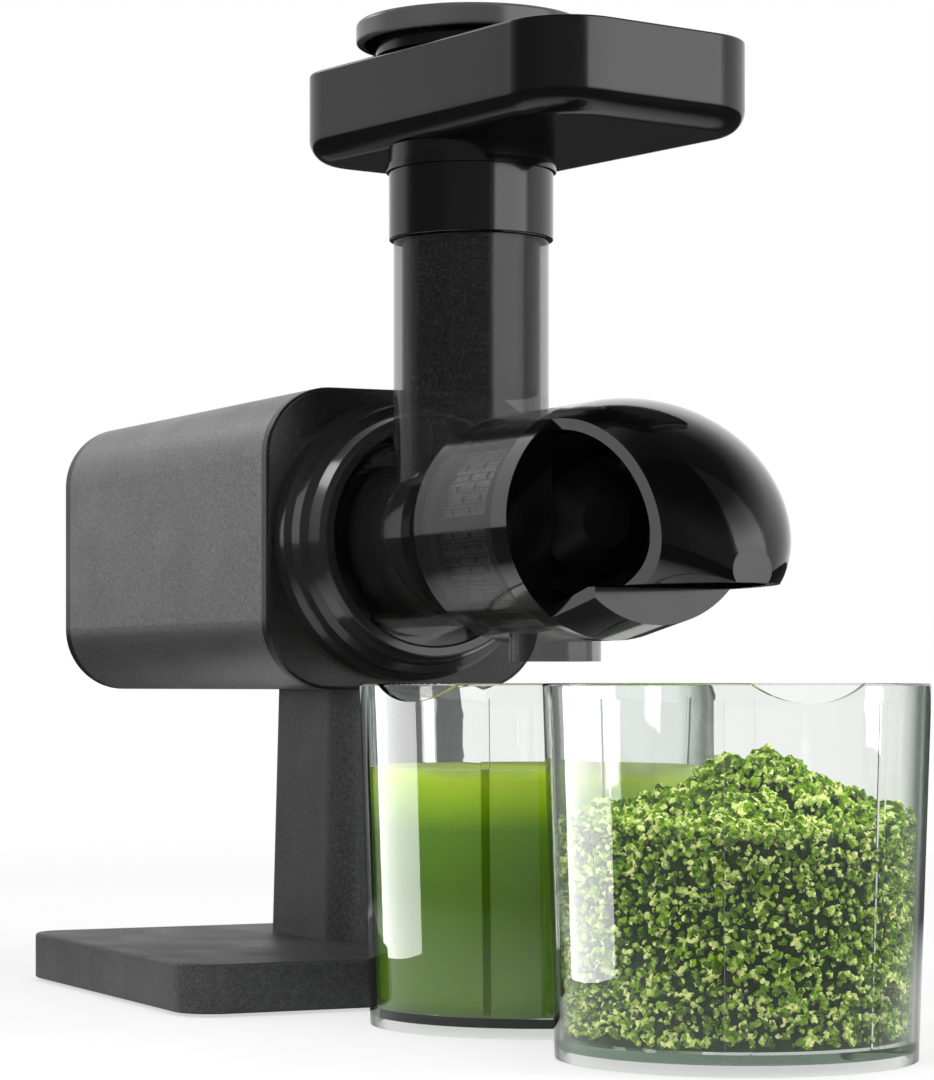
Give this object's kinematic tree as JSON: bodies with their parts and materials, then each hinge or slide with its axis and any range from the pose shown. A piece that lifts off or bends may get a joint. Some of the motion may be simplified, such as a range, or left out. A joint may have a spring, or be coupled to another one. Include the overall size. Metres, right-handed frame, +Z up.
{
  "type": "cold press juicer",
  "caption": "Horizontal slow juicer: square motor housing on a pedestal, auger drum with feed tube, tray and pusher, pulp hood, juice spout and clear cups.",
  "frame": {"origin": "on the table under the middle of the whole set, from the pulp cup's front to the back of the motor housing, in the plane through the auger's axis", "axes": "+Z up; +Y along the auger's axis from the pulp outlet towards the motor; +X to the right when the outlet end is faced"},
  "size_m": [0.208, 0.4985, 0.3194],
  "materials": {
    "housing_paint": "satin dark grey",
    "stand_plastic": "matte dark grey",
    "foot_rubber": "matte black",
    "screw_steel": "zinc plated",
    "cover_plastic": "satin dark grey",
    "collar_plastic": "satin to gloss dark grey",
    "drum_plastic": "smoky translucent",
    "hood_plastic": "high gloss black",
    "auger_plastic": "satin mid grey",
    "shaft_steel": "ground steel",
    "screen_steel": "perforated stainless steel",
    "frame_plastic": "satin grey",
    "seal_rubber": "pale grey silicone",
    "cup_clear": "clear polished plastic",
    "gear_plastic": "natural acetal",
    "case_plastic": "glass-filled nylon",
    "motor_steel": "zinc-coated steel",
    "core_steel": "laminated steel",
    "board": "green circuit board",
    "switch_plastic": "matte black",
    "rocker_plastic": "gloss black",
    "bearing_steel": "ground steel"
  },
  "bodies": {
    "base": {"base_plate": "stand_plastic", "rubber_feet": "foot_rubber", "stand_leg": "stand_plastic", "stand_screws": "screw_steel", "housing_screws": "screw_steel", "housing_shell": "housing_paint", "front_cover": "cover_plastic", "rear_cover": "cover_plastic", "cover_screws": "screw_steel", "front_collar": "collar_plastic", "collar_screws": "screw_steel", "gear_case": "case_plastic", "gear_case_lid": "case_plastic", "idler_pin": "shaft_steel", "output_bearing": "bearing_steel", "motor_can": "motor_steel", "motor_stator": "core_steel", "motor_saddle": "case_plastic", "control_board": "board", "switch_body": "switch_plastic", "cord_inlet": "foot_rubber"},
    "rotor_set": {"motor_rotor": "core_steel", "motor_shaft": "shaft_steel", "motor_fan": "case_plastic"},
    "idler": {"idler_gear": "gear_plastic"},
    "auger_set": {"auger": "auger_plastic", "auger_shank": "shaft_steel", "output_shaft": "shaft_steel", "output_gear": "gear_plastic"},
    "rocker": {"switch_rocker": "rocker_plastic"},
    "drum_set": {"juicing_drum": "drum_plastic", "drum_seal": "seal_rubber", "screen_frame": "frame_plastic", "filter_screen": "screen_steel"},
    "hood": {"pulp_hood": "hood_plastic"},
    "hopper": {"chute_collar": "hood_plastic", "feed_tray": "hood_plastic"},
    "pusher": {"pusher_body": "hood_plastic", "pusher_cap": "hood_plastic"},
    "juice_cup": {"juice_cup": "cup_clear"},
    "pulp_cup": {"pulp_cup": "cup_clear"}
  },
  "joints": [
    {"name": "motor_spin", "type": "hinge", "parent": "base", "child": "rotor_set", "pos_m": [0, 0.1237, 0.153], "axis": [0, 1, 0], "continuous": true},
    {"name": "idler_spin", "type": "hinge", "parent": "base", "child": "idler", "pos_m": [0, 0.0687, 0.177], "axis": [0, 1, 0], "continuous": true},
    {"name": "auger_spin", "type": "hinge", "parent": "base", "child": "auger_set", "pos_m": [0, -0.0263, 0.153], "axis": [0, 1, 0], "continuous": true},
    {"name": "rocker_tilt", "type": "hinge", "parent": "base", "child": "rocker", "pos_m": [0, 0.2447, 0.129], "axis": [1, 0, 0], "range_deg": [-8, 8]},
    {"name": "drum_twist", "type": "hinge", "parent": "base", "child": "drum_set", "pos_m": [0, -0.0263, 0.153], "axis": [0, -1, 0], "range_deg": [0, 40]},
    {"name": "hood_twist", "type": "hinge", "parent": "drum_set", "child": "hood", "pos_m": [0, -0.1073, 0.153], "axis": [0, -1, 0], "range_deg": [0, 30]},
    {"name": "hopper_lift", "type": "slide", "parent": "drum_set", "child": "hopper", "axis": [0, 0, 1], "range_m": [0, 0.04]},
    {"name": "pusher_lift", "type": "slide", "parent": "hopper", "child": "pusher", "axis": [0, 0, 1], "range_m": [0, 0.09]},
    {"name": "juice_cup_slide", "type": "slide", "parent": "base", "child": "juice_cup", "axis": [-1, 0, 0], "range_m": [0, 0.12]},
    {"name": "pulp_cup_slide", "type": "slide", "parent": "base", "child": "pulp_cup", "axis": [0, -1, 0], "range_m": [0, 0.1]}
  ],
  "couplings": [
    {"joint": "idler_spin", "follows": "motor_spin", "ratio": -0.25},
    {"joint": "auger_spin", "follows": "motor_spin", "ratio": 0.0625}
  ]
}
